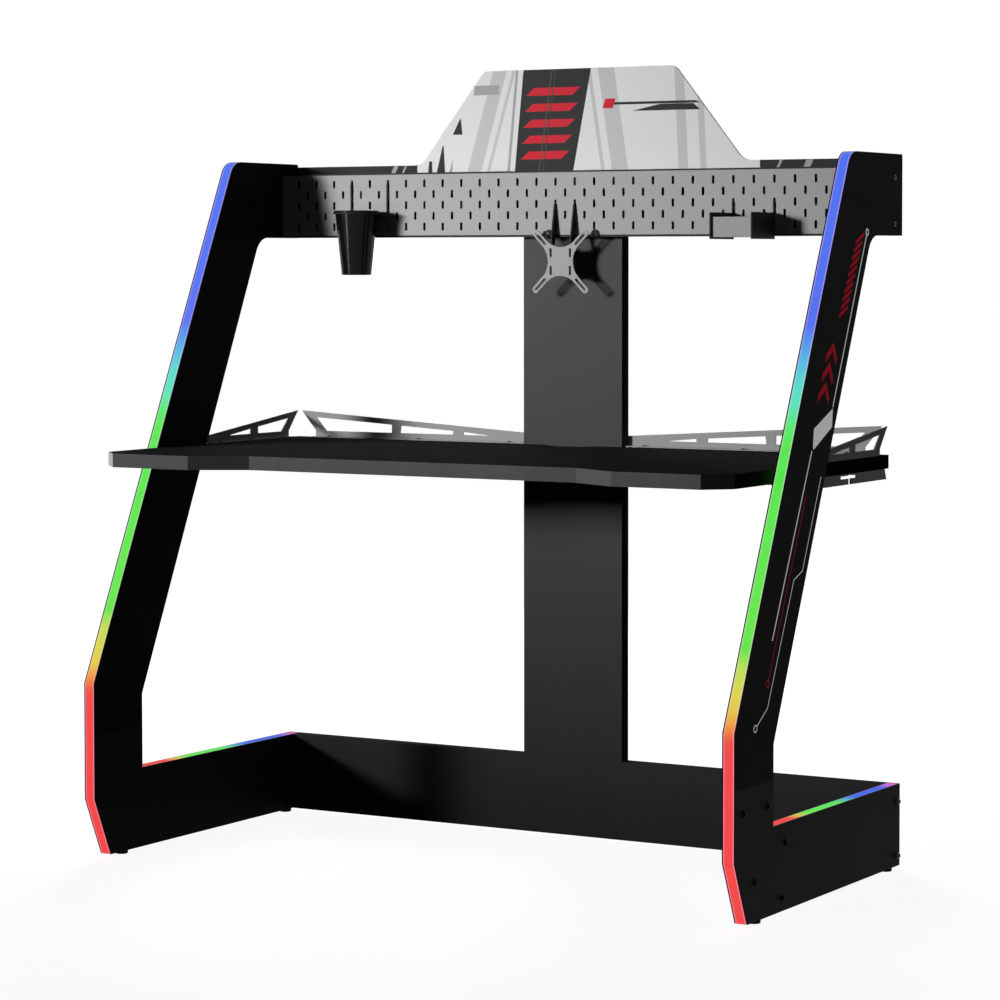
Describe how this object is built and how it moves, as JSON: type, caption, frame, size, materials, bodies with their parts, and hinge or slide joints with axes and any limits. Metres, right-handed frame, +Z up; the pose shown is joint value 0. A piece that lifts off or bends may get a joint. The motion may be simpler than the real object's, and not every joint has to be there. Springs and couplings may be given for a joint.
{
  "type": "gaming desk",
  "caption": "Gaming desk with two leaning light-edged side frames, tabletop between them, slotted tool board, screen plate, cup holder and tray, display sheet on top.",
  "frame": {"origin": "on the floor, at the middle of the side frames' width and depth", "axes": "+X to the right of the person who sits at the desk, +Y to the back, +Z up"},
  "size_m": [1.293, 0.64, 1.407],
  "materials": {
    "frame_board": "dark fine-textured coating on board",
    "light_diffuser": "milky, lit from behind",
    "lamp_tape": "satin",
    "rear_board": "dark grey coating on board",
    "grey_steel": "fine texture",
    "pale_sheet": "satin with a printed border",
    "tabletop_board": "dark fine-textured coating on board",
    "black_steel": "satin",
    "cup_plastic": "gloss",
    "glide_plastic": "matte",
    "black_bolts": "satin",
    "plain_steel": "plain",
    "dowel_wood": "raw"
  },
  "bodies": {
    "desk": {"right_arm": "frame_board", "left_arm": "frame_board", "right_foot": "frame_board", "left_foot": "frame_board", "right_front_light": "light_diffuser", "left_front_light": "light_diffuser", "right_foot_light": "light_diffuser", "left_foot_light": "light_diffuser", "right_front_tape": "lamp_tape", "left_front_tape": "lamp_tape", "right_foot_tape": "lamp_tape", "left_foot_tape": "lamp_tape", "rear_beam": "rear_board", "column": "rear_board", "tool_board": "grey_steel", "board_edges": "grey_steel", "display_sheet": "pale_sheet", "tabletop": "tabletop_board", "right_side_rail": "grey_steel", "left_side_rail": "grey_steel", "right_rear_rail": "grey_steel", "left_rear_rail": "grey_steel", "right_desk_bracket": "black_steel", "left_desk_bracket": "black_steel", "floor_glides": "glide_plastic", "head_bolts": "black_bolts", "head_nuts": "plain_steel", "beam_bolts": "black_bolts", "barrel_nuts": "plain_steel", "board_bolts": "black_bolts", "frame_dowels": "dowel_wood", "column_dowels": "dowel_wood", "frame_caps": "glide_plastic", "bracket_bolts": "black_bolts", "desk_screws": "plain_steel", "rail_screws": "plain_steel", "sheet_screws": "plain_steel"},
    "cup_holder": {"cup_ring": "black_steel", "cup_hook_right": "black_steel", "cup_hook_left": "black_steel"},
    "cup": {"cup": "cup_plastic"},
    "screen_holder": {"screen_plate": "grey_steel", "screen_hook_right": "black_steel", "screen_hook_left": "black_steel"},
    "tray": {"tray_pan": "grey_steel", "tray_hook_right": "black_steel", "tray_hook_left": "black_steel"}
  },
  "joints": [
    {"name": "cup_holder_lift", "type": "slide", "parent": "desk", "child": "cup_holder", "axis": [0, 0, 1], "range_m": [0, 0.008]},
    {"name": "cup_lift", "type": "slide", "parent": "cup_holder", "child": "cup", "axis": [0, 0, 1], "range_m": [0, 0.12]},
    {"name": "screen_holder_lift", "type": "slide", "parent": "desk", "child": "screen_holder", "axis": [0, 0, 1], "range_m": [0, 0.008]},
    {"name": "tray_lift", "type": "slide", "parent": "desk", "child": "tray", "axis": [0, 0, 1], "range_m": [0, 0.008]}
  ]
}
